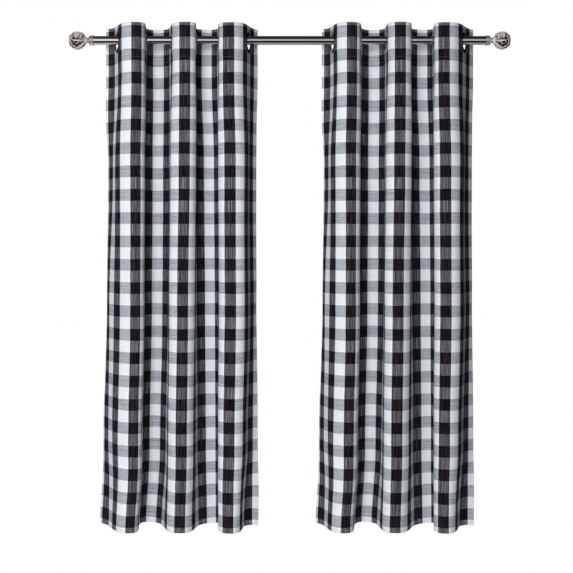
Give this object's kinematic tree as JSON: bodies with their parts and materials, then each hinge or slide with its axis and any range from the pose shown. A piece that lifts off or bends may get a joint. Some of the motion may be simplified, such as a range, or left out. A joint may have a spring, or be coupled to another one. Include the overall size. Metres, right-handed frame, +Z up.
{
  "type": "pair of eyelet curtains on a curtain rod",
  "caption": "Pair of black and white buffalo-check eyelet curtain panels hung in deep folds from a polished metal rod with openwork ball finials.",
  "frame": {"origin": "on the rod's axis, half way between the two finials", "axes": "+X along the rod to the right as seen from the room, +Y from the room towards the wall behind the curtains, +Z up"},
  "size_m": [1.409, 0.1484, 1.6001],
  "materials": {
    "check_cloth": "woven black and white buffalo check, matte",
    "polished_rod": "polished nickel",
    "finial_metal": "polished cast silver, openwork",
    "eyelet_metal": "nickel-plated"
  },
  "bodies": {
    "root": {"rod": "polished_rod", "finial_cap_left": "finial_metal", "finial_cap_right": "finial_metal", "finial_ball_left": "finial_metal", "finial_ball_right": "finial_metal", "panel_left": "check_cloth", "panel_right": "check_cloth", "eyelet_left_1": "eyelet_metal", "eyelet_left_2": "eyelet_metal", "eyelet_left_3": "eyelet_metal", "eyelet_left_4": "eyelet_metal", "eyelet_left_5": "eyelet_metal", "eyelet_left_6": "eyelet_metal", "eyelet_right_1": "eyelet_metal", "eyelet_right_2": "eyelet_metal", "eyelet_right_3": "eyelet_metal", "eyelet_right_4": "eyelet_metal", "eyelet_right_5": "eyelet_metal", "eyelet_right_6": "eyelet_metal"}
  },
  "joints": []
}
